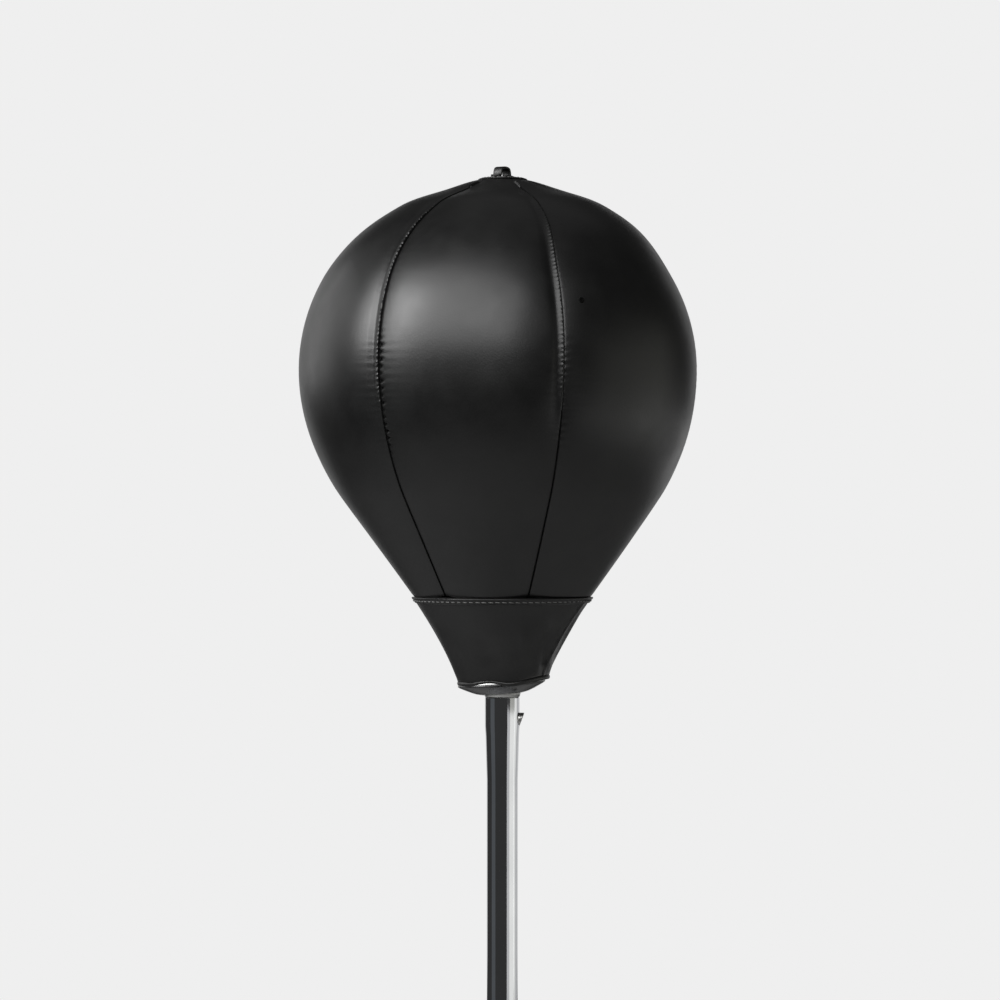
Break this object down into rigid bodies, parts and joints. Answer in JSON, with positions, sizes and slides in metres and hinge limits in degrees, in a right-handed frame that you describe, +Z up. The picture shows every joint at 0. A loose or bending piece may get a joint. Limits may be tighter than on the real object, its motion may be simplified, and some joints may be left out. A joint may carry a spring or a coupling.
{
  "type": "standing speed ball",
  "caption": "Leather speed ball on a coil spring, a telescopic chrome pole and a round fillable base; it swings back when struck.",
  "frame": {"origin": "floor level under the pole, at the centre of the base", "axes": "+Z up along the pole; -Y is the front, with the filler cap; +X is the side with the height lock's knob and the snap button"},
  "size_m": [0.4198, 0.4198, 1.407],
  "materials": {
    "cover_leather": "black synthetic leather, fine grain, satin",
    "trim_leather": "black synthetic leather, fine grain, matt",
    "bladder_rubber": "smooth butyl rubber",
    "black_rubber": "matt moulded rubber",
    "zinc_steel": "zinc-plated steel",
    "painted_steel": "gloss black powder coat",
    "spring_steel": "oiled spring steel",
    "chrome_tube": "bright chrome plate",
    "chrome_tube_lower": "bright chrome plate",
    "nylon": "natural nylon",
    "moulded_plastic": "fine moulded texture, black",
    "tank_plastic": "blow-moulded polyethylene, black",
    "insert_brass": "turned brass"
  },
  "bodies": {
    "stand": {"base_pan": "tank_plastic", "base_lid": "tank_plastic", "pole_socket": "tank_plastic", "foot_pads": "black_rubber", "pole_bolt": "zinc_steel", "pole_washer": "zinc_steel", "pole_plug": "zinc_steel", "pole_grommet": "black_rubber", "lower_pole": "chrome_tube_lower", "clamp_sleeve": "moulded_plastic", "clamp_insert": "insert_brass"},
    "upper_pole": {"upper_pole": "chrome_tube", "guide_bush": "nylon", "spring_stub": "zinc_steel", "spring_seat": "zinc_steel", "seat_dish": "painted_steel", "collar_hem": "trim_leather"},
    "snap_button": {"snap_button": "spring_steel", "button_spring": "spring_steel"},
    "spring": {"rebound_spring": "spring_steel", "collar": "trim_leather"},
    "ball": {"gore_panel_1": "cover_leather", "gore_panel_2": "cover_leather", "gore_panel_3": "cover_leather", "gore_panel_4": "cover_leather", "gore_panel_5": "cover_leather", "gore_panel_6": "cover_leather", "top_patch": "trim_leather", "hanging_loop": "trim_leather", "bladder": "bladder_rubber", "inflation_valve": "black_rubber", "collar_welt": "trim_leather", "seat_cup": "zinc_steel", "seat_washer": "zinc_steel", "seat_bolt": "zinc_steel", "spring_cap": "zinc_steel"},
    "clamp_screw": {"clamp_pad": "nylon"},
    "lock_knob": {"lock_knob": "moulded_plastic", "knob_stud": "zinc_steel"},
    "cap_seal": {"cap_gasket": "black_rubber"},
    "filler_cap": {"filler_cap": "moulded_plastic"}
  },
  "joints": [
    {"name": "height_slide", "type": "slide", "parent": "stand", "child": "upper_pole", "axis": [0, 0, 1], "range_m": [-0.25, 0.2]},
    {"name": "button_press", "type": "slide", "parent": "upper_pole", "child": "snap_button", "axis": [1, 0, 0], "range_m": [-0.0048, 0], "stiffness_N_per_m": 1500, "deforming": ["button_spring"]},
    {"name": "sway_side", "type": "hinge", "parent": "upper_pole", "child": "spring", "pos_m": [0, 0, 1.108], "axis": [0, 1, 0], "range_deg": [-40, 40], "stiffness_Nm_per_rad": 22, "deforming": ["rebound_spring", "collar"]},
    {"name": "sway_front", "type": "hinge", "parent": "spring", "child": "ball", "pos_m": [0, 0, 1.129], "axis": [1, 0, 0], "range_deg": [-40, 40], "stiffness_Nm_per_rad": 22, "deforming": ["rebound_spring", "collar"]},
    {"name": "pad_travel", "type": "slide", "parent": "stand", "child": "clamp_screw", "axis": [1, 0, 0], "range_m": [0, 0.0025]},
    {"name": "knob_turn", "type": "hinge", "parent": "clamp_screw", "child": "lock_knob", "pos_m": [0.033, 0, 0.622], "axis": [1, 0, 0], "range_deg": [0, 721]},
    {"name": "cap_lift", "type": "slide", "parent": "stand", "child": "cap_seal", "axis": [0, 0, 1], "range_m": [0, 0.0135]},
    {"name": "cap_turn", "type": "hinge", "parent": "cap_seal", "child": "filler_cap", "pos_m": [0, -0.13, 0.136], "axis": [0, 0, 1], "range_deg": [0, 1081]}
  ],
  "couplings": [
    {"joint": "knob_turn", "follows": "pad_travel", "rad_per_m": 5026.5},
    {"joint": "cap_turn", "follows": "cap_lift", "rad_per_m": 1396.3}
  ]
}
